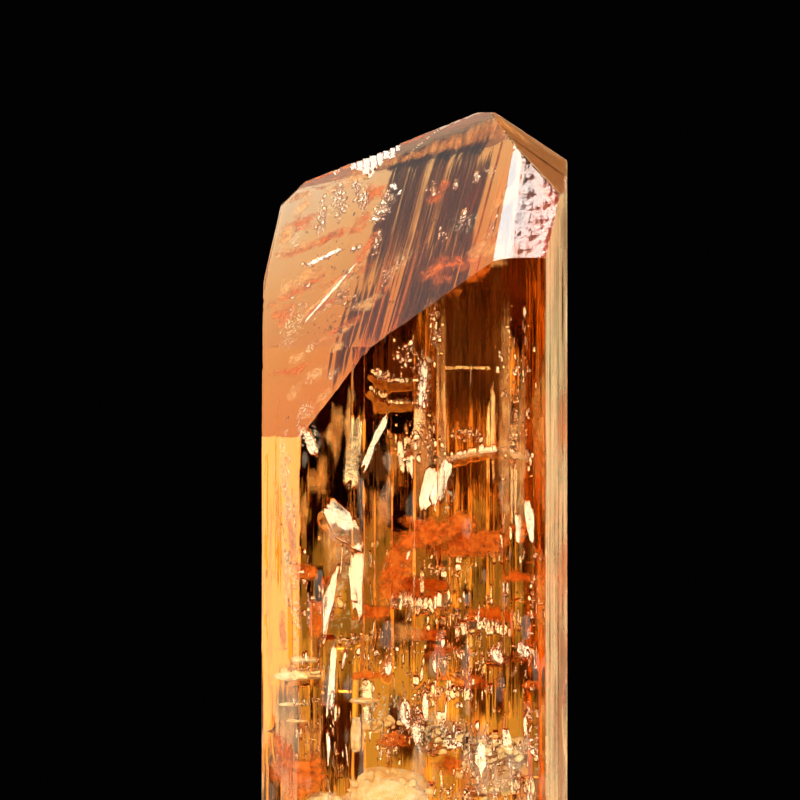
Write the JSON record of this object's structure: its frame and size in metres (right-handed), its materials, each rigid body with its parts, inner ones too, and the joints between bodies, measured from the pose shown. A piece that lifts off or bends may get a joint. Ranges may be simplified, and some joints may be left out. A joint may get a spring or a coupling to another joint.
{
  "type": "topaz crystal",
  "caption": "Single striated prismatic crystal of clear orange topaz with a slanting faceted tip and a flat cleavage foot.",
  "frame": {"origin": "centre of the crystal's box at its flat foot", "axes": "+Z along the crystal from the foot to the tip, -Y is the front wall, +X is to the right seen from the front"},
  "size_m": [0.012, 0.0112, 0.033],
  "materials": {
    "topaz": "clear, natural crystal faces"
  },
  "bodies": {
    "root": {"crystal": "topaz"}
  },
  "joints": []
}
